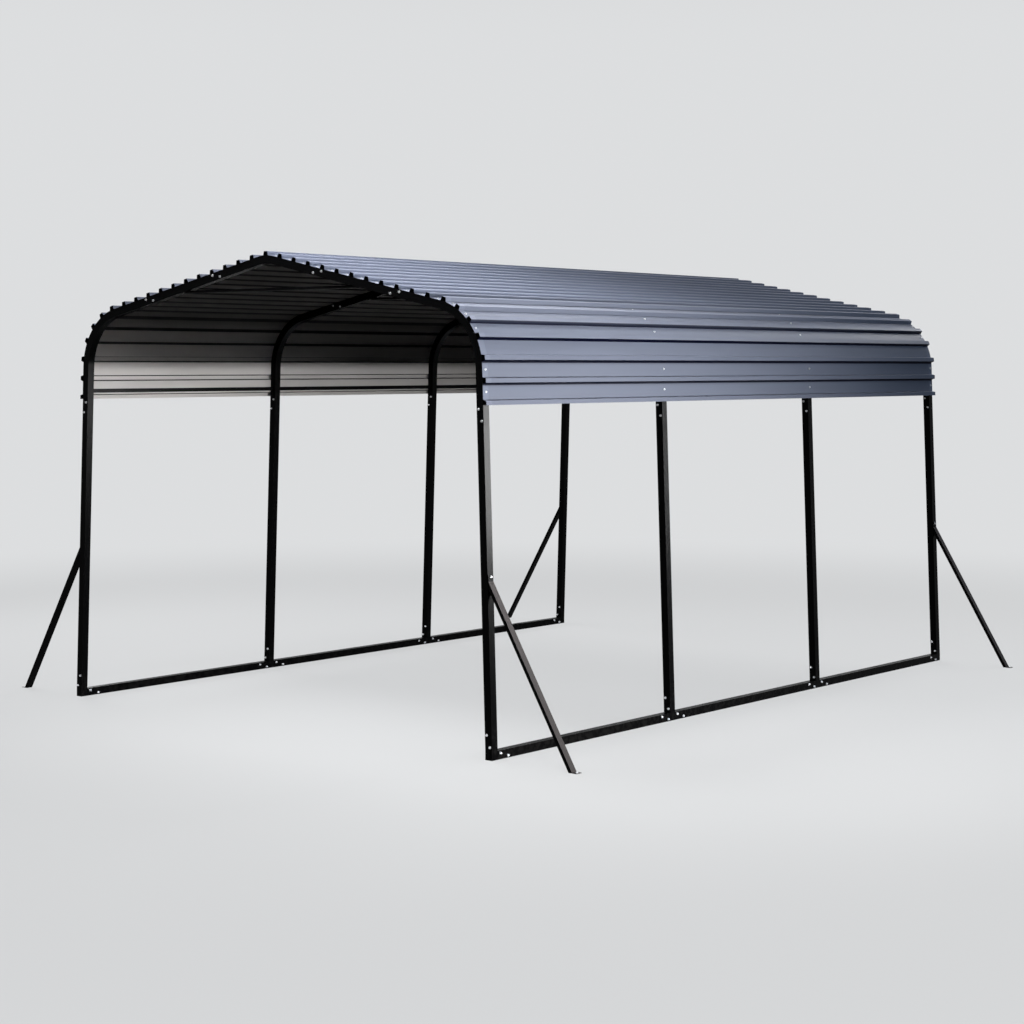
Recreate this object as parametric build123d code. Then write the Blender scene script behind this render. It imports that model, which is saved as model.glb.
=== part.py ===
from build123d import *
import os
from math import atan2, cos, radians, sin, tan

# Open-sided metal carport: four bent tube frames on two base rails, with ribbed sheets over the arch.
# Millimetres. X runs across, Y runs along from the front (-Y) to the rear, Z is up from the ground.

# Driving sizes of the frames
base_width = 4180.0
frame_length = 6000.0
frame_height = 3320.0
frame_count = 4
post_lean = 1.9
roof_slope = 12.3
eave_bend_radius = 430.0
ridge_bend_radius = 340.0
bend_post_leg = 380.0
bend_slope_leg = 345.0
ridge_leg = 590.0

# Driving sizes of the frame tube and its plug-in joints
tube = 57.0
tube_wall = 1.5
spigot_length = 130.0
spigot_wall = 1.5
shoulder = 3.0
slip = 0.3

# Driving sizes of the base connectors
connector_wall = 3.0

# Driving sizes of the ties
tie_drop = 240.0
tie_diameter = 20.0
tie_plate_length = 60.0
tie_plate_width = 40.0
tie_plate_thickness = 3.0

# Driving sizes of the outrigger braces
brace_depth = 25.0
brace_width = 50.0
brace_wall = 2.0
brace_reach = 635.0
brace_height = 1128.0
brace_top_tab = 38.0
brace_foot_tab = 36.0
tab_thickness = 3.0

# Driving sizes of the side bars
side_bar = 30.0
side_bar_wall = 1.5
side_bar_rise = 49.0

# Driving sizes of the ribbed sheets
sheet_thickness = 1.0
sheet_overhang = 2.0
sheet_drop = 252.0
sheet_seat_gap = 0.3
sheet_lap_gap = 0.3
rib_height = 28.0
rib_base = 45.0
rib_crest = 28.0
rib_past_slope = 25.0
side_rib_pitch = 146.0
slope_ribs = 12
bend_ribs = 2
side_wall_ribs = 4
ribs_per_sheet = 6

# Sizes worked out from the driving ones
half_width = base_width / 2
half_tube = tube / 2
lean = radians(post_lean)
slope = radians(roof_slope)
bore = tube - 2 * tube_wall
spigot = bore - 2 * slip
spigot_bore = spigot - 2 * spigot_wall
eave_turn = radians(90) - lean - slope
up_post = Vector(-sin(lean), 0, cos(lean))
up_slope = Vector(-cos(slope), 0, sin(slope))
post_out = Vector(cos(lean), 0, sin(lean))
slope_out = Vector(sin(slope), 0, cos(slope))
along = Vector(0, 1, 0)


def frame_starts():
    """Y of the front face of each frame, evenly spaced with the end frames flush."""
    bay = (frame_length - tube) / (frame_count - 1)
    return [-frame_length / 2 + i * bay for i in range(frame_count)]


# Centre line of a frame: foot, eave corner and ridge corner before their bends
post_foot = Vector(half_width - half_tube, 0, tube)
ridge_corner_height = frame_height - half_tube + ridge_bend_radius * (1 / cos(slope) - 1)
ridge_corner = Vector(0, 0, ridge_corner_height)
eave_drop = tan(slope) * (post_foot.X + tan(lean) * tube)
eave_corner_height = (ridge_corner_height - eave_drop) / (1 - tan(slope) * tan(lean))
eave_corner = post_foot + up_post * ((eave_corner_height - tube) / cos(lean))
eave_tangent = eave_bend_radius * tan(eave_turn / 2)
post_top = eave_corner - up_post * (eave_tangent + bend_post_leg)
bend_top = eave_corner + up_slope * (eave_tangent + bend_slope_leg)
rafter_top = ridge_corner - up_slope * ridge_leg


def across(point, direction):
    """Plane square to a tube's direction, with its first axis along the building."""
    return Plane(origin=point, x_dir=along, z_dir=direction)


def square_tube(path):
    """Frame tube swept along a line or a bent line."""
    start = across(path @ 0, path % 0)
    outside = sweep(start * Rectangle(tube, tube), path=path)
    return outside - sweep(start * Rectangle(bore, bore), path=path)


def necked_end(point, direction):
    """Reduced end of a tube that plugs into the next one: a shoulder ring and a spigot."""
    root = across(point - direction * shoulder, direction)
    ring = extrude(root * Rectangle(bore, bore), amount=shoulder)
    plug = extrude(root * Rectangle(spigot, spigot), amount=shoulder + spigot_length)
    hollow = extrude(root * Rectangle(spigot_bore, spigot_bore), amount=shoulder + spigot_length)
    return (ring + plug) - hollow


def make_post():
    """Post on its base connector, its foot cut level and its head necked to plug into the bend."""
    below = post_foot - up_post * tube
    body = square_tube(Line(below, post_top))
    level_cut = Pos(post_foot.X, 0, 0) * Box(3 * tube, 2 * tube, 2 * tube)
    return body - level_cut + necked_end(post_top, up_post)


def make_eave_bend():
    """Bent corner from the post's head round to the roof slope."""
    path = FilletPolyline(post_top, eave_corner, bend_top, radius=eave_bend_radius)
    return square_tube(path) + necked_end(bend_top, up_slope)


def make_rafter():
    """Straight roof tube between the eave bend and the ridge bend."""
    return square_tube(Line(bend_top, rafter_top)) + necked_end(rafter_top, up_slope)


def make_ridge_bend():
    """Bent tube over the ridge, open at both ends to take the rafters."""
    left_end = Vector(-rafter_top.X, 0, rafter_top.Z)
    path = FilletPolyline(rafter_top, ridge_corner, left_end, radius=ridge_bend_radius)
    return square_tube(path)


def make_tie():
    """Thin rod across a frame under the ridge, with a plate against each rafter's underside."""
    tie_height = frame_height - tie_drop
    reach = (ridge_corner_height - half_tube / cos(slope) - tie_height) / tan(slope)
    rod_start = Plane(origin=(-reach, 0, tie_height), z_dir=(1, 0, 0))
    rod = extrude(rod_start * Circle(tie_diameter / 2), amount=2 * reach)
    underside = Plane(origin=(reach, 0, tie_height), x_dir=along, z_dir=up_slope.cross(along))
    plate = extrude(underside * Rectangle(tie_plate_width, tie_plate_length), amount=tie_plate_thickness)
    above = extrude(underside * Rectangle(tube, 2 * tube), amount=-tube)
    tie = rod + plate + mirror(plate, about=Plane.YZ)
    return tie - above - mirror(above, about=Plane.YZ)


def make_rail(length):
    """Straight base rail lying on the ground along Y, starting at Y zero."""
    start = Plane(origin=(half_width - half_tube, 0, half_tube), x_dir=(1, 0, 0), z_dir=along)
    return extrude(start * (Rectangle(tube, tube) - Rectangle(bore, bore)), amount=length)


def make_connector(rail_directions):
    """Foot under a post: a short square socket with a plug up into the post and one into each rail."""
    inner = tube - 2 * connector_wall
    ground = Plane(origin=(half_width - half_tube, half_tube, 0))
    body = extrude(ground * Rectangle(tube, tube), amount=tube)
    body -= extrude(ground * Rectangle(inner, inner), amount=tube - connector_wall)
    plugs = [(Vector(post_foot.X, half_tube, tube), up_post)]
    for side in rail_directions:
        plugs.append((Vector(post_foot.X, half_tube + side * half_tube, half_tube), Vector(0, side, 0)))
    for point, direction in plugs:
        root = Plane(origin=point - direction * connector_wall / 2, x_dir=(1, 0, 0), z_dir=direction)
        reach = spigot_length + connector_wall / 2
        stub = extrude(root * Rectangle(spigot, spigot), amount=reach)
        body += stub - extrude(root * Rectangle(spigot_bore, spigot_bore), amount=reach)
    return body


def on_post_face(distance):
    """Point on the outer face of a post, measured up the face from the base connector."""
    return post_foot + post_out * half_tube + up_post * distance


def brace_outline(inset):
    """Side view of a brace cut to the ground and to the post's face, with its long sides moved in."""
    foot = Vector(half_width + brace_reach, 0, 0)
    head = on_post_face(brace_height - tube)
    line = (head - foot).normalized()
    out = Vector(line.Z, 0, -line.X)
    corners = []
    for side in (-1, 1):
        start = foot + out * side * (brace_depth / 2 - inset)
        low = start - line * (start.Z / line.Z)
        gap = on_post_face(0) - start
        high = start + line * (gap.dot(post_out) / line.dot(post_out))
        corners.append((low, high))
    return corners


def brace_solid(corners, width):
    """Side outline of a brace pulled along Y, centred on the post's tube."""
    (low_in, high_in), (low_out, high_out) = corners
    outline = make_face(Polyline(low_in, low_out, high_out, high_in, close=True).edges())
    return Pos(0, half_tube - width / 2, 0) * extrude(outline, amount=width, dir=along)


def make_brace():
    """Flat tube from the ground to the post's outer face, with a bolting tab at each end."""
    body = brace_solid(brace_outline(0), brace_width)
    body -= brace_solid(brace_outline(brace_wall), brace_width - 2 * brace_wall)
    (low_in, high_in), (low_out, high_out) = brace_outline(0)
    line = (high_out - low_out).normalized()
    foot_tab = [
        low_out,
        low_out + Vector(brace_foot_tab, 0, 0),
        low_out + Vector(brace_foot_tab, 0, tab_thickness),
        low_out + line * (tab_thickness / line.Z),
    ]
    head_tab = [
        high_out,
        high_out + up_post * brace_top_tab,
        high_out + up_post * brace_top_tab + post_out * tab_thickness,
        high_out + line * (tab_thickness / line.dot(post_out)),
    ]
    for tab in (foot_tab, head_tab):
        face = make_face(Polyline(*tab, close=True).edges())
        body += Pos(0, half_tube - brace_width / 2, 0) * extrude(face, amount=brace_width, dir=along)
    return body


# Seat line of the sheets: ridge arc, slope, eave arc and side wall, measured from the ridge
seat_lift = half_tube + sheet_seat_gap
ridge_seat_radius = ridge_bend_radius + seat_lift
eave_seat_radius = eave_bend_radius + seat_lift
ridge_centre = ridge_corner - Vector(0, 0, ridge_bend_radius / cos(slope))
slope_run = (eave_corner - ridge_corner).length - eave_tangent - ridge_bend_radius * tan(slope)
slope_foot = eave_corner + up_slope * eave_tangent
eave_centre = slope_foot - slope_out * eave_bend_radius
ridge_arc_end = ridge_seat_radius * slope
slope_end = ridge_arc_end + slope_run
eave_arc_end = slope_end + eave_seat_radius * eave_turn
sheet_end = eave_arc_end + sheet_drop

# Ribs: one pitch from the ridge to just past the slope, one down the wall from the bend's foot, the
# rest even round the bend, and the last one's crest is the sheet's lower edge
ribs_per_side = slope_ribs + bend_ribs + side_wall_ribs
slope_rib_end = slope_end + rib_past_slope
slope_rib_pitch = slope_rib_end / slope_ribs
last_rib = sheet_end - rib_crest / 2
first_wall_rib = last_rib - (side_wall_ribs - 1) * side_rib_pitch
bend_rib_pitch = (first_wall_rib - slope_rib_end) / (bend_ribs + 1)
web = atan2(2 * rib_height, rib_base - rib_crest)


def rib_place(index):
    """Distance from the ridge to a rib's middle along the seat line; left ribs are negative."""
    count = abs(index)
    if count <= slope_ribs:
        place = count * slope_rib_pitch
    elif count > slope_ribs + bend_ribs:
        place = last_rib - (ribs_per_side - count) * side_rib_pitch
    else:
        place = slope_rib_end + (count - slope_ribs) * bend_rib_pitch
    return place if index >= 0 else -place


def on_roof(place, lift):
    """Point at a distance along the seat line and a height off it."""
    run = abs(place)
    if run <= ridge_arc_end:
        turn = run / ridge_seat_radius
        out = Vector(sin(turn), 0, cos(turn))
        point = ridge_centre + out * (ridge_seat_radius + lift)
    elif run <= slope_end:
        start = ridge_centre + slope_out * (ridge_seat_radius + lift)
        point = start - up_slope * (run - ridge_arc_end)
    elif run <= eave_arc_end:
        turn = slope + (run - slope_end) / eave_seat_radius
        out = Vector(sin(turn), 0, cos(turn))
        point = eave_centre + out * (eave_seat_radius + lift)
    else:
        start = eave_centre + post_out * (eave_seat_radius + lift)
        point = start - up_post * (run - eave_arc_end)
    return point if place >= 0 else Vector(-point.X, 0, point.Z)


def flat_edges(start, end, lift):
    """Edges of a flat between two ribs, straight on the slope and wall and curved on the bends."""
    marks = [ridge_arc_end, slope_end, eave_arc_end]
    inside = [m * s for m in marks for s in (-1, 1) if start < m * s < end]
    stops = [start] + sorted(inside) + [end]
    edges = []
    for first, last in zip(stops, stops[1:]):
        middle = (first + last) / 2
        curved = abs(middle) < ridge_arc_end or slope_end < abs(middle) < eave_arc_end
        if curved:
            edges.append(ThreePointArc(on_roof(first, lift), on_roof(middle, lift), on_roof(last, lift)))
        else:
            edges.append(Line(on_roof(first, lift), on_roof(last, lift)))
    return edges


def rib_stations(index, skin, near, far):
    """Places and heights across one rib on one skin of a sheet.

    Near and far say how each side ends: "crest" stops at the crest's edge, "over" laps over another
    sheet's rib and stops above its flat, and "flat" goes on into this sheet's next flat.
    """
    lapped = "over" in (near, far)
    rise = (sheet_thickness + sheet_lap_gap) if lapped else 0
    half_crest = rib_crest / 2 + (rise + skin) * tan(web / 2)
    middle = rib_place(index)
    stations = []
    for side, ending in ((-1, near), (1, far)):
        crest = (middle + side * half_crest, rib_height + rise + skin)
        if ending == "crest":
            side_stations = [(middle + side * rib_crest / 2, rib_height + skin)]
        elif ending == "over":
            side_stations = [(middle + side * (half_crest + rib_height / tan(web)), rise + skin), crest]
        else:
            foot = half_crest + (rib_height + rise) / tan(web)
            side_stations = [(middle + side * foot, skin), crest]
        stations += side_stations if side < 0 else side_stations[::-1]
    return stations


def skin_edges(first, last, skin, near_end, far_end):
    """One skin of a sheet from its first rib to its last, and its two end points."""
    edges = []
    previous = None
    for index in range(first, last + 1):
        near = near_end if index == first else "flat"
        far = far_end if index == last else "flat"
        stations = rib_stations(index, skin, near, far)
        if previous:
            edges += flat_edges(previous[0], stations[0][0], skin)
        else:
            begin = on_roof(*stations[0])
        for one, two in zip(stations, stations[1:]):
            edges.append(Line(on_roof(*one), on_roof(*two)))
        previous = stations[-1]
    return edges, begin, on_roof(*previous)


def make_sheet(first, last, near_end, far_end):
    """Ribbed sheet over the ribs from first to last, its full length along Y."""
    under, under_begin, under_finish = skin_edges(first, last, 0, near_end, far_end)
    top, top_begin, top_finish = skin_edges(first, last, sheet_thickness, near_end, far_end)
    closing = [Line(under_begin, top_begin), Line(under_finish, top_finish)]
    outline = make_face(under + top + closing)
    length = frame_length + 2 * sheet_overhang
    return Pos(0, -length / 2, 0) * extrude(outline, amount=length, dir=along)


def make_side_bar(length):
    """Thin tube behind the lower edge of a side sheet, along Y and flush with the posts' outer faces."""
    place = sheet_end - side_bar_rise - side_bar / 2
    centre = on_roof(place, -sheet_seat_gap - side_bar / 2)
    start = Plane(origin=centre, x_dir=post_out, z_dir=along)
    inner = side_bar - 2 * side_bar_wall
    return extrude(start * (Rectangle(side_bar, side_bar) - Rectangle(inner, inner)), amount=length)


def both_sides(name, index, right_part, nodes):
    """Adds a part on the right and its mirror image on the left."""
    nodes[f"{name}_right_{index}"] = right_part
    nodes[f"{name}_left_{index}"] = mirror(right_part, about=Plane.YZ)


def apart(pieces):
    """One node of like pieces that don't touch."""
    return Compound(children=[piece.solid() for piece in pieces])


def make_frames(nodes):
    """All the tubes that stand in the planes of the frames."""
    members = {"post": make_post(), "eave_bend": make_eave_bend(), "rafter": make_rafter()}
    ridge = make_ridge_bend()
    middles = [Pos(0, start + half_tube, 0) for start in frame_starts()]
    for number, middle in enumerate(middles, 1):
        for name, member in members.items():
            both_sides(name, number, middle * member, nodes)
        nodes[f"ridge_bend_{number}"] = middle * ridge
    tie = make_tie()
    nodes["ridge_ties"] = apart([middle * tie for middle in middles])


def make_base(nodes):
    """Rails between the frames and the connectors under the posts."""
    starts = frame_starts()
    rail = make_rail(starts[1] - starts[0] - tube)
    for number, start in enumerate(starts[:-1], 1):
        both_sides("rail", number, Pos(0, start + tube, 0) * rail, nodes)
    corners = []
    tees = []
    for number, start in enumerate(starts):
        sides = [s for s in (-1, 1) if 0 <= number + s < frame_count]
        connector = Pos(0, start, 0) * make_connector(sides)
        pair = [connector, mirror(connector, about=Plane.YZ)]
        if len(sides) == 1:
            corners += pair
        else:
            tees += pair
    nodes["corner_connectors"] = apart(corners)
    nodes["tee_connectors"] = apart(tees)


def make_side_bars(nodes):
    """Bars between the frames along the lower edges of the side sheets."""
    starts = frame_starts()
    bar = make_side_bar(starts[1] - starts[0] - tube)
    bars = []
    for start in starts[:-1]:
        placed = Pos(0, start + tube, 0) * bar
        bars += [placed, mirror(placed, about=Plane.YZ)]
    nodes["side_bars"] = apart(bars)


def make_braces(nodes):
    """Outrigger braces at the four corner posts."""
    brace = make_brace()
    starts = frame_starts()
    for end, start in (("front", starts[0]), ("rear", starts[-1])):
        placed = Pos(0, start, 0) * brace
        nodes[f"{end}_braces"] = apart([placed, mirror(placed, about=Plane.YZ)])


def make_roof(nodes):
    """Six full-length sheets, each lapping over the one below it and one pair meeting at the ridge."""
    sheets = [("upper", 0), ("lower", ribs_per_sheet), ("eave", 2 * ribs_per_sheet)]
    for name, first in sheets:
        last = first + ribs_per_sheet
        near = "crest" if first else "over"
        far = "crest" if last == ribs_per_side else "over"
        nodes[f"roof_sheet_{name}_right"] = make_sheet(first, last, near, far)
        nodes[f"roof_sheet_{name}_left"] = make_sheet(-last, -first, far, "crest")


def main():
    """Builds every node and writes one file for each."""
    nodes = {}
    make_frames(nodes)
    make_base(nodes)
    make_side_bars(nodes)
    make_braces(nodes)
    make_roof(nodes)
    os.makedirs("parts", exist_ok=True)
    for name, shape in nodes.items():
        export_step(shape, f"parts/{name}.step")


main()
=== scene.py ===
"""Finishes, fasteners and stage for the open-sided metal carport."""
from math import cos, pi, radians, sin, tan

import bpy
from mathutils import Matrix, Vector


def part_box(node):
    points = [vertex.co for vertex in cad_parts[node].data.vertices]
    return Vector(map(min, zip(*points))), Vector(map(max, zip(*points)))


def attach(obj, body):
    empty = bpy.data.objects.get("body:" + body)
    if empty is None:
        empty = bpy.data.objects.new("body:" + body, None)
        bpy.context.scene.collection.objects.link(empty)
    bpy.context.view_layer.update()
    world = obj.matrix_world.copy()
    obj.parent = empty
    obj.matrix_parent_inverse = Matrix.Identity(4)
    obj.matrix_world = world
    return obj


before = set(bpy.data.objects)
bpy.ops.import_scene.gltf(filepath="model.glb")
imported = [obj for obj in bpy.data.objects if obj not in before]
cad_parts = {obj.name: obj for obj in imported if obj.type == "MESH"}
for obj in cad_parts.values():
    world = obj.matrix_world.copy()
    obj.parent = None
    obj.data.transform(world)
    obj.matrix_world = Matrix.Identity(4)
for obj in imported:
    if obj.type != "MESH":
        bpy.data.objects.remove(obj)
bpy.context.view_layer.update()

bl_info = {
    "name": "Carport Finish",
    "version": (1, 0, 0),
    "blender": (4, 5, 0),
    "location": "View3D > Sidebar > Carport",
    "description": "Finishes, fasteners and stage for a bent-tube carport",
    "category": "3D View",
}

FRAME_NODES = [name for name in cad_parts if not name.startswith("roof_sheet")]
SHEET_NODES = [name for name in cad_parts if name.startswith("roof_sheet")]

# Places read from the frame, in metres
rail_low, rail_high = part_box("rail_right_1")
TUBE = rail_high.x - rail_low.x
HALF_TUBE = TUBE / 2
HALF_WIDTH = rail_high.x
FRAME_FRONTS = [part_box(f"post_right_{number}")[0].y for number in (1, 2, 3, 4)]
RIDGE_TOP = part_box("ridge_bend_1")[1].z
SHEET_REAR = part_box("roof_sheet_upper_right")[1].y
BRACE_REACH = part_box("front_braces")[1].x
BRACE_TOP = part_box("front_braces")[1].z

# Sizes shared with the frame's source, in metres
POST_LEAN = radians(1.9)
ROOF_SLOPE = radians(12.3)
EAVE_RADIUS = 0.430
RIDGE_RADIUS = 0.340
SEAT_GAP = 0.0003
SHEET_THICKNESS = 0.001
SHEET_DROP = 0.252
RIB_BASE = 0.045
RIB_CREST = 0.028
RIB_PAST_SLOPE = 0.025
WALL_RIB_PITCH = 0.146
SLOPE_RIBS = 12
BEND_RIBS = 2
WALL_RIBS = 4
TAB_THICKNESS = 0.003

# Directions in the plane of a frame, on the right-hand side
UP_POST = Vector((-sin(POST_LEAN), 0, cos(POST_LEAN)))
POST_OUT = Vector((cos(POST_LEAN), 0, sin(POST_LEAN)))
UP_SLOPE = Vector((-cos(ROOF_SLOPE), 0, sin(ROOF_SLOPE)))
SLOPE_OUT = Vector((sin(ROOF_SLOPE), 0, cos(ROOF_SLOPE)))
TO_FRONT = Vector((0, -1, 0))
TO_REAR = Vector((0, 1, 0))
UPWARD = Vector((0, 0, 1))

# Where the tubes plug together, read from the ends of the nodes
POST_FOOT = Vector((HALF_WIDTH - HALF_TUBE, 0, TUBE))
POST_HEAD_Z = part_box("eave_bend_right_1")[0].z + HALF_TUBE * sin(POST_LEAN)
RAFTER_FOOT_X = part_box("rafter_right_1")[1].x - HALF_TUBE * sin(ROOF_SLOPE)
RIDGE_END_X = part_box("ridge_bend_1")[1].x - HALF_TUBE * sin(ROOF_SLOPE)
RIDGE_CORNER_Z = RIDGE_TOP - HALF_TUBE + RIDGE_RADIUS * (1 / cos(ROOF_SLOPE) - 1)

# Seat line of the sheets: ridge arc, slope, eave arc and side wall, measured from the ridge
SEAT_LIFT = HALF_TUBE + SEAT_GAP
RIDGE_SEAT_RADIUS = RIDGE_RADIUS + SEAT_LIFT
EAVE_SEAT_RADIUS = EAVE_RADIUS + SEAT_LIFT
EAVE_TURN = radians(90) - POST_LEAN - ROOF_SLOPE
EAVE_TANGENT = EAVE_RADIUS * tan(EAVE_TURN / 2)
RIDGE_CORNER = Vector((0, 0, RIDGE_CORNER_Z))
EAVE_FALL = tan(ROOF_SLOPE) * (POST_FOOT.x + tan(POST_LEAN) * TUBE)
EAVE_CORNER_Z = (RIDGE_CORNER_Z - EAVE_FALL) / (1 - tan(ROOF_SLOPE) * tan(POST_LEAN))
EAVE_CORNER = POST_FOOT + UP_POST * ((EAVE_CORNER_Z - TUBE) / cos(POST_LEAN))
RIDGE_CENTRE = RIDGE_CORNER - UPWARD * (RIDGE_RADIUS / cos(ROOF_SLOPE))
EAVE_CENTRE = EAVE_CORNER + UP_SLOPE * EAVE_TANGENT - SLOPE_OUT * EAVE_RADIUS
SLOPE_RUN = (EAVE_CORNER - RIDGE_CORNER).length - EAVE_TANGENT - RIDGE_RADIUS * tan(ROOF_SLOPE)
RIDGE_ARC_END = RIDGE_SEAT_RADIUS * ROOF_SLOPE
SLOPE_END = RIDGE_ARC_END + SLOPE_RUN
EAVE_ARC_END = SLOPE_END + EAVE_SEAT_RADIUS * EAVE_TURN
SLOPE_FOOT_Z = EAVE_CENTRE.z + EAVE_SEAT_RADIUS * cos(ROOF_SLOPE)
SLOPE_RIB_END = SLOPE_END + RIB_PAST_SLOPE
LAST_RIB = EAVE_ARC_END + SHEET_DROP - RIB_CREST / 2
FIRST_WALL_RIB = LAST_RIB - (WALL_RIBS - 1) * WALL_RIB_PITCH
RIBS_PER_SIDE = SLOPE_RIBS + BEND_RIBS + WALL_RIBS

# Places of the fasteners, in metres; flats are counted from the ridge
BOLT_FROM_END = 0.027
BOLT_PITCH = 0.077
BOLT_STAGGER = 0.0125
BRACE_BOLT_BELOW_TOP = 0.014
ANCHOR_FROM_TAB_END = 0.016
UNSCREWED_FLAT = 15

# Shapes of the fasteners, as shares of the width or height that the user sets
FLANGE_RIM = 0.86
CORNER_INSET, CORNER_RISE = 0.07, 0.10
DISH_INSET, DISH_DEPTH = 0.22, 0.08
NUT_HEIGHT = 1.15
BOLT_END_RADIUS, BOLT_END_HEIGHT, BOLT_END_CHAMFER = 0.30, 0.7, 0.05
DOME_INSET = 0.14

# Their other measures, in metres, degrees and numbers of sides
DOME_EDGE, DOME_RISE = 0.0018, 0.0009
SCREW_SEAT = 0.0022
TURN_BETWEEN_COPIES = 17
SMOOTH_UNDER = 28
WASHER_SIDES, HEAD_SIDES, BOLT_END_SIDES = 12, 6, 10
LEVEL_NORMAL, LEVEL_TOLERANCE = 0.9, 1e-6

# Powder coat: where dust settles, and where the painted sheen on the braces' outer faces that look
# up begins
DUST = (0.22, 0.20, 0.18)
DUST_SHARE = 0.02
DUST_HEIGHTS = (0.0, 0.35)
BRACE_PAINTED_SHEEN = (0.055, 0.050, 0.050)
PAST_POST = (0.003, 0.005)
FACES_SKY = (0.2, 0.5)
FACES_STRAIGHT_UP = (0.75, 0.90)

# Sheet coats, with their painted shade, shadows and highlights: heights and widths in metres, and
# how far a rib's web turns from its sheet
RIB_SHADE = (0.0004, 0.0010, 0.0075)
SHADED_WALL_RIBS = (16, 17)
DARK_BAND, SOFT_BAND, BAND_EDGE = 0.009, 0.030, 0.001
SOFT_SHARE = 0.45
WEB_TURN = (0.4, 0.8)
SLOPE_START = (SLOPE_FOOT_Z - 0.16, SLOPE_FOOT_Z - 0.08)
PAINTED_WEB_LIGHT_START = (SLOPE_FOOT_Z + 0.052, SLOPE_FOOT_Z + 0.060)
REAR_TO_FRONT = (-2.5, 2.5)
OVER_TUBE = (0.0, 0.004)
OVER_TUBE_HIGHLIGHT = 0.15
STAIN_SHARE = 0.5
SLOPE_PAINTED_SHADE = 0.45
GROOVE_PAINTED_SHADE, GROOVE_LESS_ON_SLOPE = 0.92, 0.30

# Zinc: the heights between which the bolts turn from a lighter plain tone to the cloudy tarnish
BRIGHT_BELOW = (0.5, 1.4)

# The camera that fits the photograph's view
CAMERA_PLACE = (10.7609, -13.2870, 2.5381)
CAMERA_TURN = 0.69082
CAMERA_LENS = 73.610
CAMERA_SENSOR = 36.0
CAMERA_RISE = -0.14246
CAMERA_REACH = 500

# Floor, backdrop and world
FLOOR_SIZE = 160
FLOOR_FADE = (5.0, 14.0)
FLOOR_GLOW = 0.78
FLOOR_BOUNCE = 0.02
BACKDROP = (0.72, 0.73, 0.74)
SKY_FADE = (0.15, 0.45)
SKY_TOP = 0.15
WORLD_COLOUR = (0.90, 0.95, 1.0)
WORLD_LIGHT = 0.02
SEEN_RAYS = ("Is Camera Ray", "Is Glossy Ray", "Is Transmission Ray")

# Lamps: name, place, aim, width, height, watts, spread in degrees, tint
WHITE, COOL = (1, 1, 1), (0.55, 0.75, 1.0)
LAMPS = (
    ("key_lamp", (7.5, -8.0, 8.5), (1.0, -1.8, 2.5), 4.0, 4.0, 140, 180, WHITE),
    ("top_lamp", (1.2, -5.0, 8.5), (0.9, -2.6, 3.1), 2.0, 2.0, 74, 45, WHITE),
    ("over_lamp", (-3.0, -3.0, 9.5), (1.0, -2.6, 3.1), 3.0, 3.0, 165, 60, WHITE),
    ("sky_lamp", (0.0, 6.0, 10.5), (1.9, -2.5, 2.9), 5.0, 4.0, 950, 180, WHITE),
    ("sheen_lamp", (3.8, 15.0, 9.5), (2.0, 1.0, 2.7), 4.0, 3.0, 100, 50, WHITE),
    ("rear_lamp", (12.0, 4.0, 5.0), (2.1, 1.0, 2.7), 4.0, 3.0, 40, 60, COOL),
    ("side_lamp", (9.0, -2.0, 1.85), (-2.1, -3.2, 2.45), 2.4, 0.14, 112, 70, WHITE),
    ("post_lamp", (9.7, 6.2, 2.0), (2.05, -3.0, 1.9), 2.6, 2.2, 100, 40, WHITE),
    ("left_lamp", (-11.0, 1.0, 3.2), (-2.1, 0.3, 2.6), 6.0, 2.4, 420, 80, WHITE),
)

# Sockets of a Mix node that blends colours
MIX_FACTOR, MIX_FIRST, MIX_SECOND, MIX_RESULT = 0, 6, 7, 2


# Places along the tubes and the roof

def slope_point(reach):
    """Point on a roof tube's centre line at a distance from the middle."""
    return Vector((reach, 0, RIDGE_CORNER_Z - tan(ROOF_SLOPE) * reach))


def pair_at_end(end, inward, outward):
    """The two staggered bolts of a plug joint: the one near the tube's end sits further out."""
    near = end + inward * BOLT_FROM_END + outward * BOLT_STAGGER
    far = end + inward * (BOLT_FROM_END + BOLT_PITCH) - outward * BOLT_STAGGER
    return [near, far]


def frame_joint_points():
    """Bolt places of one frame's right-hand half, on the tubes' middle plane."""
    post_head = POST_FOOT + UP_POST * ((POST_HEAD_Z - TUBE) / cos(POST_LEAN))
    points = pair_at_end(POST_FOOT, UP_POST, POST_OUT)
    points += pair_at_end(post_head, UP_POST, POST_OUT)
    points += pair_at_end(slope_point(RAFTER_FOOT_X), UP_SLOPE, SLOPE_OUT)
    points += pair_at_end(slope_point(RIDGE_END_X), UP_SLOPE, SLOPE_OUT)
    return points


def roof_point(place):
    """Point on the seat line at a distance from the ridge, and the outward direction there."""
    if place <= RIDGE_ARC_END:
        turn = place / RIDGE_SEAT_RADIUS
        out = Vector((sin(turn), 0, cos(turn)))
        return RIDGE_CENTRE + out * RIDGE_SEAT_RADIUS, out
    if place <= SLOPE_END:
        start = RIDGE_CENTRE + SLOPE_OUT * RIDGE_SEAT_RADIUS
        return start - UP_SLOPE * (place - RIDGE_ARC_END), SLOPE_OUT
    if place <= EAVE_ARC_END:
        turn = ROOF_SLOPE + (place - SLOPE_END) / EAVE_SEAT_RADIUS
        out = Vector((sin(turn), 0, cos(turn)))
        return EAVE_CENTRE + out * EAVE_SEAT_RADIUS, out
    start = EAVE_CENTRE + POST_OUT * EAVE_SEAT_RADIUS
    return start - UP_POST * (place - EAVE_ARC_END), POST_OUT


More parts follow.
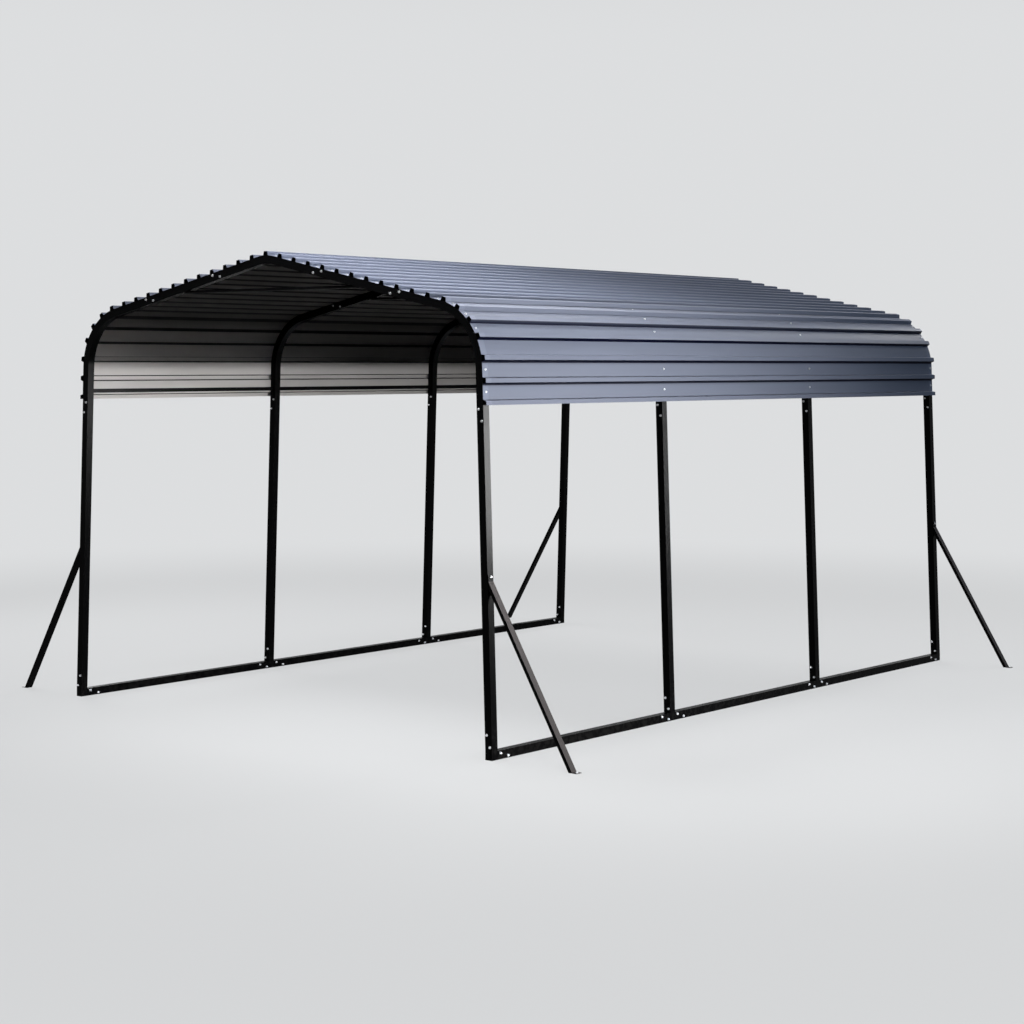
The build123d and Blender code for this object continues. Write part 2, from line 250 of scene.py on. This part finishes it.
def rib_place(count):
    """Distance from the ridge to a rib's middle along the seat line."""
    if count <= SLOPE_RIBS:
        return count * SLOPE_RIB_END / SLOPE_RIBS
    if count > SLOPE_RIBS + BEND_RIBS:
        return LAST_RIB - (RIBS_PER_SIDE - count) * WALL_RIB_PITCH
    share = (count - SLOPE_RIBS) / (BEND_RIBS + 1)
    return SLOPE_RIB_END + share * (FIRST_WALL_RIB - SLOPE_RIB_END)


def mirrored(point):
    """The same place or direction on the left-hand side."""
    return Vector((-point.x, point.y, point.z))


# Shader writing

class Value:
    """A socket on which sums can be written; each sum adds a Math node."""

    def __init__(self, nodes, socket):
        self.nodes = nodes
        self.socket = socket

    def __add__(self, other):
        return self.nodes.math("ADD", self, other)

    __radd__ = __add__

    def __sub__(self, other):
        return self.nodes.math("SUBTRACT", self, other)

    def __rsub__(self, other):
        return self.nodes.math("SUBTRACT", other, self)

    def __mul__(self, other):
        return self.nodes.math("MULTIPLY", self, other)

    __rmul__ = __mul__

    def __gt__(self, other):
        return self.nodes.math("GREATER_THAN", self, other)

    def __abs__(self):
        return self.nodes.math("ABSOLUTE", self)

    def clamped(self, low, high):
        """The value, held between two numbers."""
        inputs = {"Value": self, "Min": low, "Max": high}
        return self.nodes.node("ShaderNodeClamp", {}, inputs)


class Nodes:
    """Writes the nodes of one material or world."""

    def __init__(self, tree):
        self.tree = tree
        self.tree.nodes.clear()

    def raw(self, kind, settings, inputs):
        """Adds a node: its settings first, then the values or links of its sockets."""
        node = self.tree.nodes.new(kind)
        for name, value in settings.items():
            setattr(node, name, value)
        for key, value in inputs.items():
            if isinstance(value, Value):
                self.tree.links.new(value.socket, node.inputs[key])
            else:
                node.inputs[key].default_value = value
        return node

    def node(self, kind, settings, inputs, output=0):
        """Adds a node and gives one of its outputs."""
        return Value(self, self.raw(kind, settings, inputs).outputs[output])

    def math(self, operation, *numbers):
        """Math node on one or two numbers."""
        return self.node("ShaderNodeMath", {"operation": operation}, dict(enumerate(numbers)))

    def axes(self, vector):
        """The X, Y and Z of a vector."""
        parts = self.raw("ShaderNodeSeparateXYZ", {}, {"Vector": vector})
        return [Value(self, parts.outputs[name]) for name in "XYZ"]

    def ramp(self, value, low, high):
        """Value stretched so that low becomes 0 and high becomes 1, and held there."""
        inputs = {"Value": value, "From Min": low, "From Max": high}
        return self.node("ShaderNodeMapRange", {"interpolation_type": "SMOOTHSTEP"}, inputs)

    def blend(self, factor, first, second):
        """Colour blend, from first at 0 to second at 1."""
        inputs = {MIX_FACTOR: factor, MIX_FIRST: first, MIX_SECOND: second}
        return self.node("ShaderNodeMix", {"data_type": "RGBA"}, inputs, MIX_RESULT)

    def mix_shaders(self, factor, first, second):
        """Shader blend, from first at 0 to second at 1."""
        return self.node("ShaderNodeMixShader", {}, {0: factor, 1: first, 2: second})

    def seen(self):
        """1 where the surface is looked at, also in a mirror or through glass, and 0 elsewhere."""
        rays = self.raw("ShaderNodeLightPath", {}, {})
        camera, glossy, through = (Value(self, rays.outputs[name]) for name in SEEN_RAYS)
        return (camera + glossy + through).clamped(0.0, 1.0)


class Finish(Nodes):
    """A procedural material on the piece's own coordinates."""

    def __init__(self, name):
        self.material = bpy.data.materials.new(name)
        self.material.use_nodes = True
        super().__init__(self.material.node_tree)
        self.place = self.node("ShaderNodeTexCoord", {}, {}, "Object")
        self.x, self.y, self.z = self.axes(self.place)

    def facing(self):
        """The X, Y and Z of the direction in which the surface faces."""
        return self.axes(self.node("ShaderNodeNewGeometry", {}, {}, "True Normal"))

    def noise(self, scale, detail, stretch=(1, 1, 1)):
        """Noise of about so many bumps a metre, drawn out where stretch is under one."""
        where = self.node("ShaderNodeMapping", {}, {"Vector": self.place, "Scale": stretch})
        inputs = {"Vector": where, "Scale": scale, "Detail": detail}
        return self.node("ShaderNodeTexNoise", {}, inputs)

    def bump(self, height, strength, distance):
        """Normal of a fine relief, its full height given in metres."""
        inputs = {"Height": height, "Strength": strength, "Distance": distance}
        return self.node("ShaderNodeBump", {}, inputs)

    def surface(self, inputs):
        """Principled surface."""
        return self.node("ShaderNodeBsdfPrincipled", {}, inputs)

    def show(self, shader):
        """Gives the material its shader."""
        self.raw("ShaderNodeOutputMaterial", {}, {"Surface": shader})
        return self.material


def tone(colour, share=1.0):
    """Colour with an alpha, made lighter or darker by a share."""
    return (colour[0] * share, colour[1] * share, colour[2] * share, 1.0)


def powder_coat(colour):
    """Satin black powder coat: fine orange peel, a little dust low down, and a painted sheen on
    the braces' upward faces.
    """
    finish = Finish("powder_coat_black")
    patches = finish.noise(scale=5.0, detail=3.0)
    specks = finish.ramp(finish.noise(scale=22.0, detail=4.0), 0.35, 0.75)
    dust = (1 - finish.ramp(finish.z, *DUST_HEIGHTS)) * specks
    worn = finish.blend(patches, tone(colour, 0.75), tone(colour, 1.5))
    dusty = finish.blend(dust * DUST_SHARE, worn, tone(DUST))
    # Painted sheen: the braces' outer faces that look up to the sky are made lighter grey
    _, _, upwards = finish.facing()
    not_level = 1 - finish.ramp(upwards, *FACES_STRAIGHT_UP)
    skyward = finish.ramp(upwards, *FACES_SKY) * not_level
    past_post = abs(finish.x) + finish.z * tan(POST_LEAN) - HALF_WIDTH
    on_brace = finish.ramp(past_post, *PAST_POST)
    peel = finish.noise(scale=900.0, detail=1.0)
    shader = finish.surface({
        "Base Color": finish.blend(skyward * on_brace, dusty, tone(BRACE_PAINTED_SHEEN)),
        "Roughness": 0.18 + patches * 0.07 + dust * 0.20,
        "Specular IOR Level": 0.016,
        "Normal": finish.bump(peel, strength=0.12, distance=0.0004),
    })
    return finish.show(shader)


def sheet_facing(finish):
    """How far a sheet's surface faces outwards and up the roof, from the sheet's own curve."""
    over = finish.z - EAVE_CENTRE.z
    beyond = abs(finish.x) - EAVE_CENTRE.x
    turn = finish.math("ARCTAN2", over, beyond).clamped(POST_LEAN, pi / 2 - ROOF_SLOPE)
    level, rise = finish.math("COSINE", turn), finish.math("SINE", turn)
    across, _, upwards = finish.facing()
    sideways = across * finish.math("SIGN", finish.x)
    return sideways * level + upwards * rise, upwards * level - sideways * rise


def shade_under_rib(finish, count, shade, colour):
    """Painted soft shadow and painted dark shadow line on the side wall, right below one of its
    ribs.
    """
    foot = roof_point(rib_place(count) + RIB_BASE / 2)[0].z
    below = 1.0 - finish.ramp(finish.z, foot, foot + BAND_EDGE)
    soft = finish.ramp(finish.z, foot - SOFT_BAND, foot) * below
    dark = finish.ramp(finish.z, foot - DARK_BAND, foot - DARK_BAND + BAND_EDGE) * below
    shade = finish.blend(soft * SOFT_SHARE, shade, tone(colour, 0.4))
    return finish.blend(dark, shade, tone(RIB_SHADE))


def coil_coat(outer_colour, inner_colour):
    """Coated sheet: satin slate outside, pale backer coat inside, with painted shade, shadows and
    highlights on the ribs, slopes and sheet ends.
    """
    finish = Finish("coil_coat_slate")
    outward, uphill = sheet_facing(finish)
    on_slope = finish.ramp(finish.z, *SLOPE_START)
    over_tube = finish.ramp(abs(finish.y) - (SHEET_REAR - TUBE), *OVER_TUBE)
    lower_web = finish.ramp(0 - uphill, *WEB_TURN)
    streaks = finish.noise(scale=9.0, detail=4.0, stretch=(1, 0.12, 1))
    clouds = finish.noise(scale=1.3, detail=2.0, stretch=(1, 0.5, 1))
    grain = finish.noise(scale=260.0, detail=2.0)

    shade = finish.blend(streaks, tone(outer_colour, 0.90), tone(outer_colour, 1.10))
    # Painted highlight: a lighter strip on the outer coat along the last tube width at each end of
    # the sheets
    shade = finish.blend(over_tube * OVER_TUBE_HIGHLIGHT, shade, tone(outer_colour, 1.9))
    for count in SHADED_WALL_RIBS:
        shade = shade_under_rib(finish, count, shade, outer_colour)
    # Painted light: the down-slope webs of the roof ribs made lighter, most towards the front
    high_up = finish.ramp(finish.z, *PAINTED_WEB_LIGHT_START)
    painted_web_light = lower_web * high_up * finish.ramp(0 - finish.y, *REAR_TO_FRONT)
    shade = finish.blend(painted_web_light, shade, tone(outer_colour, 1.75))
    # Painted shade: the downward-facing webs of the bend and wall ribs made near black
    shade = finish.blend(lower_web * (1.0 - on_slope), shade, tone(RIB_SHADE))
    outer = finish.surface({
        "Base Color": shade,
        "Roughness": 0.34 + streaks * 0.10 + clouds * 0.06,
        "Specular IOR Level": 0.015,
        "Normal": finish.bump(clouds + streaks * 0.15, strength=0.35, distance=0.010),
    })

    stains = finish.ramp(finish.noise(scale=3.0, detail=4.0, stretch=(1, 0.3, 1)), 0.45, 0.80)
    # Painted shade: the backer coat on the grooves' webs made near black, less so under the slopes
    in_groove = finish.ramp(abs(uphill), *WEB_TURN)
    groove_shade = GROOVE_PAINTED_SHADE - on_slope * GROOVE_LESS_ON_SLOPE
    lining = finish.blend(stains * STAIN_SHARE, tone(inner_colour), tone(inner_colour, 0.72))
    # Painted shade: the backer coat under the roof slopes made darker
    lining = finish.blend(on_slope * SLOPE_PAINTED_SHADE, lining, tone(inner_colour, 0.3))
    lining = finish.blend(in_groove * groove_shade, lining, tone(inner_colour, 0.04))
    # Painted shade: the backer coat along the last tube width at each end made near black, so the
    # open rib ends read dark
    lining = finish.blend(over_tube, lining, tone(inner_colour, 0.01))
    inner = finish.surface({
        "Base Color": lining,
        "Roughness": 0.48 + streaks * 0.10,
        "Specular IOR Level": 0.008,
        "Normal": finish.bump(grain, strength=0.05, distance=0.0005),
    })
    return finish.show(finish.mix_shaders(outward > 0.0, inner, outer))


def bright_zinc(colour):
    """Bright zinc plating with a faint cloudy tarnish, and a lighter plain tone low down."""
    finish = Finish("zinc_bright")
    cloud = finish.noise(scale=120.0, detail=3.0)
    relief = finish.noise(scale=1500.0, detail=1.0)
    tarnished = finish.blend(cloud, tone(colour, 0.85), tone(colour, 0.5))
    low_down = 1.0 - finish.ramp(finish.z, *BRIGHT_BELOW)
    shader = finish.surface({
        "Base Color": finish.blend(low_down, tarnished, tone(colour, 1.42)),
        "Metallic": 0.9 - cloud * 0.2,
        "Roughness": 0.32 + cloud * 0.16,
        "Normal": finish.bump(relief, strength=0.08, distance=0.0002),
    })
    return finish.show(shader)


def studio_floor(colour):
    """Pale floor that fades into the backdrop, and gives little light back to the object."""
    finish = Finish("studio_floor")
    length = {"operation": "LENGTH"}
    distance = finish.node("ShaderNodeVectorMath", length, {0: finish.place}, "Value")
    mottle = finish.noise(scale=1.6, detail=3.0)
    shade = finish.blend(mottle, tone(colour, 0.985), tone(colour, 1.015))
    lit = finish.surface({"Base Color": shade, "Roughness": 0.75, "Specular IOR Level": 0.1})
    glow = finish.node("ShaderNodeEmission", {}, {"Color": tone(BACKDROP), "Strength": 1.0})
    near = finish.mix_shaders(FLOOR_GLOW, lit, glow)
    shown = finish.mix_shaders(finish.ramp(distance, *FLOOR_FADE), near, glow)
    bounce = finish.node("ShaderNodeBsdfDiffuse", {}, {"Color": tone(colour, FLOOR_BOUNCE)})
    return finish.show(finish.mix_shaders(finish.seen(), bounce, shown))


# Mesh shaping

def deselect_all():
    """Leaves nothing selected."""
    bpy.ops.object.select_all(action="DESELECT")


def disc(sides, radius, height, base):
    """Round or many-sided blank standing on the plane z = base."""
    deselect_all()
    bpy.ops.mesh.primitive_cylinder_add(
        vertices=sides, radius=radius, depth=height, location=(0, 0, base + height / 2))
    bpy.ops.object.transform_apply(location=True, rotation=True, scale=True)
    return bpy.context.active_object


def open_top(piece):
    """Opens a blank for shaping, with only its flat top picked."""
    deselect_all()
    bpy.context.view_layer.objects.active = piece
    piece.select_set(True)
    bpy.ops.object.mode_set(mode="EDIT")
    bpy.ops.mesh.select_mode(type="FACE")
    bpy.ops.mesh.select_all(action="DESELECT")
    bpy.ops.object.mode_set(mode="OBJECT")
    highest = max(vertex.co.z for vertex in piece.data.vertices)
    for face in piece.data.polygons:
        on_top = face.center.z > highest - LEVEL_TOLERANCE
        face.select = face.normal.z > LEVEL_NORMAL and on_top
    bpy.ops.object.mode_set(mode="EDIT")


def step_top(inset, rise):
    """Insets the picked top and moves the new face up or down."""
    bpy.ops.mesh.inset(thickness=inset)
    bpy.ops.transform.translate(value=(0, 0, rise))


def close_top():
    """Ends the shaping of a blank."""
    bpy.ops.object.mode_set(mode="OBJECT")


def joined(pieces, name):
    """Joins pieces into one, named, with its place in its mesh."""
    deselect_all()
    for piece in pieces:
        piece.select_set(True)
    bpy.context.view_layer.objects.active = pieces[0]
    bpy.ops.object.join()
    result = bpy.context.active_object
    bpy.ops.object.transform_apply(location=True, rotation=True, scale=True)
    result.name = name
    result.data.name = name
    return result


def flange(radius, thickness):
    """Pressed washer with a sloping rim."""
    washer = disc(WASHER_SIDES, radius, thickness, 0.0)
    open_top(washer)
    bpy.ops.transform.resize(value=(FLANGE_RIM, FLANGE_RIM, 1.0))
    close_top()
    return washer


def hexagon(width, height, base):
    """Hexagon head with its top corners turned off and a shallow dish."""
    head = disc(HEAD_SIDES, width / 2 / cos(pi / HEAD_SIDES), height, base)
    open_top(head)
    step_top(width * CORNER_INSET, height * CORNER_RISE)
    step_top(width * DISH_INSET, -height * DISH_DEPTH)
    close_top()
    return head


def bolt_head(sizes):
    """Flanged hexagon head, its seat on z = 0."""
    rim = sizes.washer_thickness
    washer = flange(sizes.washer_width / 2, rim)
    head = hexagon(sizes.bolt_width, sizes.bolt_height, rim)
    return joined([washer, head], "bolt_head")


def bolt_nut(sizes):
    """Flanged nut with the end of its bolt standing out."""
    rim, width, height = sizes.washer_thickness, sizes.bolt_width, sizes.bolt_height
    nut = hexagon(width, height * NUT_HEIGHT, rim)
    bolt_end = disc(
        BOLT_END_SIDES, width * BOLT_END_RADIUS, height * BOLT_END_HEIGHT, rim + height)
    open_top(bolt_end)
    step_top(width * BOLT_END_CHAMFER, width * BOLT_END_CHAMFER)
    close_top()
    washer = flange(sizes.washer_width / 2, rim)
    return joined([washer, nut, bolt_end], "bolt_nut")


def sheet_screw(sizes):
    """Hexagon screw head on a domed sealing washer."""
    dome = disc(WASHER_SIDES, sizes.screw_washer / 2, DOME_EDGE, 0.0)
    open_top(dome)
    step_top(sizes.screw_washer * DOME_INSET, DOME_RISE)
    close_top()
    head = hexagon(sizes.screw_width, sizes.screw_height, SCREW_SEAT)
    return joined([dome, head], "sheet_screw")


def standing(point, direction):
    """Turn and move that stand a fastener on a surface, its axis along direction."""
    turn = UPWARD.rotation_difference(direction.normalized()).to_matrix().to_4x4()
    return Matrix.Translation(point) @ turn


def zinc_finish(context):
    """The zinc material, made on its first use."""
    made = bpy.data.materials.get("zinc_bright")
    return made or bright_zinc(context.scene.carport_colours.zinc)


def repeat(context, template, places, name):
    """Copies of a fastener at each place, joined into one piece that rides with the frame."""
    copies = []
    for number, place in enumerate(places):
        copy = template.copy()
        copy.data = template.data.copy()
        spin = Matrix.Rotation(radians(TURN_BETWEEN_COPIES * number), 4, "Z")
        copy.data.transform(place @ spin)
        bpy.context.collection.objects.link(copy)
        copies.append(copy)
    piece = joined(copies, name)
    piece.data.materials.clear()
    piece.data.materials.append(zinc_finish(context))
    deselect_all()
    piece.select_set(True)
    bpy.ops.object.shade_smooth_by_angle(angle=radians(SMOOTH_UNDER))
    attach(piece, "root")


def discard(template):
    """Removes a fastener that was only there to be copied."""
    bpy.data.objects.remove(template, do_unlink=True)


def through_bolts(context, groups):
    """Bolt heads and nuts of each named group, given as a name, head places and nut places."""
    sizes = context.scene.carport_sizes
    head, nut = bolt_head(sizes), bolt_nut(sizes)
    for name, heads, nuts in groups:
        repeat(context, head, heads, f"{name}_bolt_heads")
        repeat(context, nut, nuts, f"{name}_bolt_nuts")
    discard(head)
    discard(nut)


# Settings a user would change

class CarportSizes(bpy.types.PropertyGroup):
    """Sizes of the bolts and screws."""
    bolt_width: bpy.props.FloatProperty(
        name="Bolt head", description="Width across the flats of a joint bolt's head",
        default=0.013, min=0.006, unit="LENGTH")
    bolt_height: bpy.props.FloatProperty(
        name="Bolt head height", description="Height of a joint bolt's head above its washer",
        default=0.0055, min=0.002, unit="LENGTH")
    washer_width: bpy.props.FloatProperty(
        name="Washer", description="Outer width of a joint bolt's washer",
        default=0.0175, min=0.008, unit="LENGTH")
    washer_thickness: bpy.props.FloatProperty(
        name="Washer thickness", description="Thickness of a joint bolt's washer",
        default=0.0016, min=0.0005, unit="LENGTH")
    screw_width: bpy.props.FloatProperty(
        name="Screw head", description="Width across the flats of a sheet screw's head",
        default=0.0095, min=0.004, unit="LENGTH")
    screw_height: bpy.props.FloatProperty(
        name="Screw head height", description="Height of a sheet screw's head above its washer",
        default=0.0048, min=0.002, unit="LENGTH")
    screw_washer: bpy.props.FloatProperty(
        name="Sealing washer", description="Outer width of a sheet screw's sealing washer",
        default=0.016, min=0.008, unit="LENGTH")


class CarportColours(bpy.types.PropertyGroup):
    """Colours of the finishes and the floor."""
    tube_black: bpy.props.FloatVectorProperty(
        name="Frame", description="Colour of the powder-coated frame",
        default=(0.0014, 0.0014, 0.0016), min=0.0, max=1.0, subtype="COLOR")
    sheet_outside: bpy.props.FloatVectorProperty(
        name="Sheet outside", description="Colour of the sheets' outer coat",
        default=(0.101, 0.111, 0.144), min=0.0, max=1.0, subtype="COLOR")
    sheet_inside: bpy.props.FloatVectorProperty(
        name="Sheet inside", description="Colour of the sheets' backer coat",
        default=(0.56, 0.54, 0.525), min=0.0, max=1.0, subtype="COLOR")
    zinc: bpy.props.FloatVectorProperty(
        name="Zinc", description="Colour of the plated bolts and screws",
        default=(0.66, 0.67, 0.69), min=0.0, max=1.0, subtype="COLOR")
    floor: bpy.props.FloatVectorProperty(
        name="Floor", description="Colour of the studio floor",
        default=(0.45, 0.455, 0.46), min=0.0, max=1.0, subtype="COLOR")


def set_finish(names, material):
    """Puts one material on CAD nodes through their objects' slots."""
    for name in names:
        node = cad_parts[name]
        if not node.material_slots:
            raise RuntimeError(f"{name} has no material slot")
        for slot in node.material_slots:
            slot.link = "OBJECT"
            slot.material = material


class CARPORT_OT_coat_frame(bpy.types.Operator):
    """Give the tubes, rails, braces and ties their black powder coat."""
    bl_idname = "carport.coat_frame"
    bl_label = "Coat the frame"

    def execute(self, context):
        set_finish(FRAME_NODES, powder_coat(context.scene.carport_colours.tube_black))
        return {"FINISHED"}


class CARPORT_OT_coat_sheets(bpy.types.Operator):
    """Give the ribbed sheets their slate coat outside and their backer coat inside."""
    bl_idname = "carport.coat_sheets"
    bl_label = "Coat the sheets"

    def execute(self, context):
        colours = context.scene.carport_colours
        set_finish(SHEET_NODES, coil_coat(colours.sheet_outside, colours.sheet_inside))
        return {"FINISHED"}


class CARPORT_OT_joint_bolts(bpy.types.Operator):
    """Add the through bolts at the plug joints of each frame."""
    bl_idname = "carport.joint_bolts"
    bl_label = "Add joint bolts"

    def execute(self, context):
        half = frame_joint_points()
        points = half + [mirrored(point) for point in half]
        groups = []
        for number, front in enumerate(FRAME_FRONTS, 1):
            at_front, at_rear = Vector((0, front, 0)), Vector((0, front + TUBE, 0))
            heads = [standing(point + at_front, TO_FRONT) for point in points]
            nuts = [standing(point + at_rear, TO_REAR) for point in points]
            groups.append((f"frame_{number}", heads, nuts))
        through_bolts(context, groups)
        return {"FINISHED"}


class CARPORT_OT_rail_bolts(bpy.types.Operator):
    """Add the through bolts at both ends of each base rail."""
    bl_idname = "carport.rail_bolts"
    bl_label = "Add rail bolts"

    def execute(self, context):
        groups = []
        for side, name in ((1, "right"), (-1, "left")):
            outward = Vector((side, 0, 0))
            points = []
            for start, stop in zip(FRAME_FRONTS, FRAME_FRONTS[1:]):
                low_end = Vector((side * HALF_WIDTH, start + TUBE, HALF_TUBE))
                high_end = Vector((side * HALF_WIDTH, stop, HALF_TUBE))
                points += pair_at_end(low_end, TO_REAR, UPWARD)
                points += pair_at_end(high_end, TO_FRONT, -UPWARD)
            heads = [standing(point, outward) for point in points]
            nuts = [standing(point - outward * TUBE, -outward) for point in points]
            groups.append((f"rail_{name}", heads, nuts))
        through_bolts(context, groups)
        return {"FINISHED"}


class CARPORT_OT_brace_bolts(bpy.types.Operator):
    """Add the bolt at each brace's head and the anchor through its foot."""
    bl_idname = "carport.brace_bolts"
    bl_label = "Add brace bolts"

    def execute(self, context):
        head = bolt_head(context.scene.carport_sizes)
        height = (BRACE_TOP - BRACE_BOLT_BELOW_TOP - TUBE) / cos(POST_LEAN)
        on_post = POST_FOOT + POST_OUT * (HALF_TUBE + TAB_THICKNESS) + UP_POST * height
        on_foot = Vector((BRACE_REACH - ANCHOR_FROM_TAB_END, 0, TAB_THICKNESS))
        places = []
        for front in (FRAME_FRONTS[0], FRAME_FRONTS[-1]):
            middle = Vector((0, front + HALF_TUBE, 0))
            for point, out in ((on_post, POST_OUT), (on_foot, UPWARD)):
                places.append(standing(point + middle, out))
                places.append(standing(mirrored(point) + middle, mirrored(out)))
        repeat(context, head, places, "brace_bolts")
        discard(head)
        return {"FINISHED"}


class CARPORT_OT_roof_screws(bpy.types.Operator):
    """Add the screws that hold the sheets to the frames, one in each flat but one."""
    bl_idname = "carport.roof_screws"
    bl_label = "Add roof screws"

    def execute(self, context):
        screw = sheet_screw(context.scene.carport_sizes)
        seats = []
        for count in range(RIBS_PER_SIDE):
            if count != UNSCREWED_FLAT:
                point, out = roof_point((rib_place(count) + rib_place(count + 1)) / 2)
                seats.append((point + out * SHEET_THICKNESS, out))
        seats += [(mirrored(point), mirrored(out)) for point, out in seats]
        for number, front in enumerate(FRAME_FRONTS, 1):
            middle = Vector((0, front + HALF_TUBE, 0))
            places = [standing(point + middle, out) for point, out in seats]
            repeat(context, screw, places, f"roof_screws_{number}")
        discard(screw)
        return {"FINISHED"}


def soft_box(name, place, aim, width, height, watts, spread, tint):
    """Rectangular studio lamp at a place, turned towards a point."""
    lamp = bpy.data.lights.new(name, "AREA")
    lamp.shape = "RECTANGLE"
    lamp.size, lamp.size_y = width, height
    lamp.energy = watts
    lamp.color = tint
    lamp.spread = radians(spread)
    holder = bpy.data.objects.new(name, lamp)
    bpy.context.scene.collection.objects.link(holder)
    holder.location = place
    holder.visible_camera = False
    holder.rotation_euler = (Vector(aim) - Vector(place)).to_track_quat("-Z", "Y").to_euler()


def light_world(scene):
    """Pale backdrop where it is seen, soft even light elsewhere."""
    world = bpy.data.worlds.new("studio")
    world.use_nodes = True
    scene.world = world
    nodes = Nodes(world.node_tree)
    _, _, height = nodes.axes(nodes.node("ShaderNodeTexCoord", {}, {}, "Generated"))
    sweep = nodes.blend(nodes.ramp(height, *SKY_FADE), tone(BACKDROP), tone(BACKDROP, SKY_TOP))
    backdrop = nodes.node("ShaderNodeBackground", {}, {"Color": sweep, "Strength": 1.0})
    light = {"Color": tone(WORLD_COLOUR), "Strength": WORLD_LIGHT}
    fill = nodes.node("ShaderNodeBackground", {}, light)
    shader = nodes.mix_shaders(nodes.seen(), fill, backdrop)
    nodes.raw("ShaderNodeOutputWorld", {}, {"Surface": shader})


def place_camera(scene):
    """The photograph's view: upright edges stay upright, so the lens is shifted, not tipped."""
    lens = bpy.data.cameras.new("camera")
    lens.lens = CAMERA_LENS
    lens.sensor_width = CAMERA_SENSOR
    lens.shift_y = CAMERA_RISE
    lens.clip_end = CAMERA_REACH
    camera = bpy.data.objects.new("camera", lens)
    scene.collection.objects.link(camera)
    camera.location = CAMERA_PLACE
    camera.rotation_euler = (radians(90), 0, CAMERA_TURN)
    scene.camera = camera


class CARPORT_OT_stage(bpy.types.Operator):
    """Set out the floor, the studio light and the camera."""
    bl_idname = "carport.stage"
    bl_label = "Set the stage"

    def execute(self, context):
        deselect_all()
        bpy.ops.mesh.primitive_plane_add(size=FLOOR_SIZE, location=(0, 0, 0))
        floor = bpy.context.active_object
        floor.name = "studio_floor"
        floor.data.materials.append(studio_floor(context.scene.carport_colours.floor))
        for lamp in LAMPS:
            soft_box(*lamp)
        light_world(context.scene)
        place_camera(context.scene)
        context.scene.view_settings.view_transform = "Standard"
        return {"FINISHED"}


class CARPORT_PT_panel(bpy.types.Panel):
    """Lists the carport's settings and finishing steps."""
    bl_idname = "CARPORT_PT_panel"
    bl_label = "Carport"
    bl_space_type = "VIEW_3D"
    bl_region_type = "UI"
    bl_category = "Carport"

    def draw(self, context):
        for group in (context.scene.carport_sizes, context.scene.carport_colours):
            for name in group.bl_rna.properties.keys():
                if name not in ("rna_type", "name"):
                    self.layout.prop(group, name)
        for step in STEPS:
            self.layout.operator(step.bl_idname)


STEPS = (
    CARPORT_OT_coat_frame,
    CARPORT_OT_coat_sheets,
    CARPORT_OT_joint_bolts,
    CARPORT_OT_rail_bolts,
    CARPORT_OT_brace_bolts,
    CARPORT_OT_roof_screws,
    CARPORT_OT_stage,
)
CLASSES = (CarportSizes, CarportColours, *STEPS, CARPORT_PT_panel)


def register():
    for item in CLASSES:
        bpy.utils.register_class(item)
    bpy.types.Scene.carport_sizes = bpy.props.PointerProperty(type=CarportSizes)
    bpy.types.Scene.carport_colours = bpy.props.PointerProperty(type=CarportColours)


def unregister():
    del bpy.types.Scene.carport_colours
    del bpy.types.Scene.carport_sizes
    for item in reversed(CLASSES):
        bpy.utils.unregister_class(item)


def main():
    """Registers the add-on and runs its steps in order."""
    register()
    bpy.ops.carport.coat_frame()
    bpy.ops.carport.coat_sheets()
    bpy.ops.carport.joint_bolts()
    bpy.ops.carport.rail_bolts()
    bpy.ops.carport.brace_bolts()
    bpy.ops.carport.roof_screws()
    bpy.ops.carport.stage()


if __name__ == "__main__":
    main()
